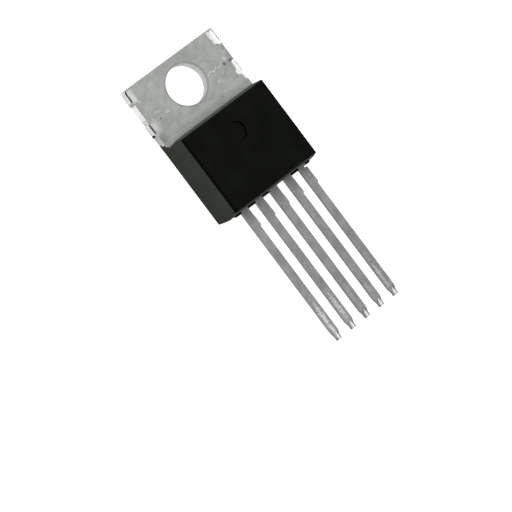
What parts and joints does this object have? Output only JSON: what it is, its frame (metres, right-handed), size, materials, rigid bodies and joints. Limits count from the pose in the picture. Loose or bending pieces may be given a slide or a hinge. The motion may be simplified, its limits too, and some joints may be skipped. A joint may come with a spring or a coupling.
{
  "type": "voltage regulator",
  "caption": "Power voltage regulator in a moulded tab package: drilled heat sink tab, black epoxy housing and straight leads in one row.",
  "frame": {"origin": "centre of the mounting hole, on the heat sink's back face", "axes": "+X across the part to the right as seen from the front with the leads down, +Y along the part towards the tab's free end, +Z out of the front face, so the part lies on its back"},
  "size_m": [0.0104, 0.029, 0.0044],
  "materials": {
    "tinned_copper": "matte tin plating over stamped copper, lightly marked by handling",
    "epoxy": "fine matte moulded epoxy, near black",
    "silicon": "polished bare silicon",
    "solder": "dull soft solder",
    "wire": "drawn aluminium wire"
  },
  "bodies": {
    "root": {"heat_sink_tab": "tinned_copper", "moulded_body": "epoxy", "lead_1": "tinned_copper", "lead_2": "tinned_copper", "lead_4": "tinned_copper", "lead_5": "tinned_copper", "silicon_die": "silicon", "die_solder": "solder", "bond_wire_enable": "wire", "bond_wire_input_a": "wire", "bond_wire_input_b": "wire", "bond_wire_ground": "wire", "bond_wire_output_a": "wire", "bond_wire_output_b": "wire", "bond_wire_adjust": "wire"}
  },
  "joints": []
}
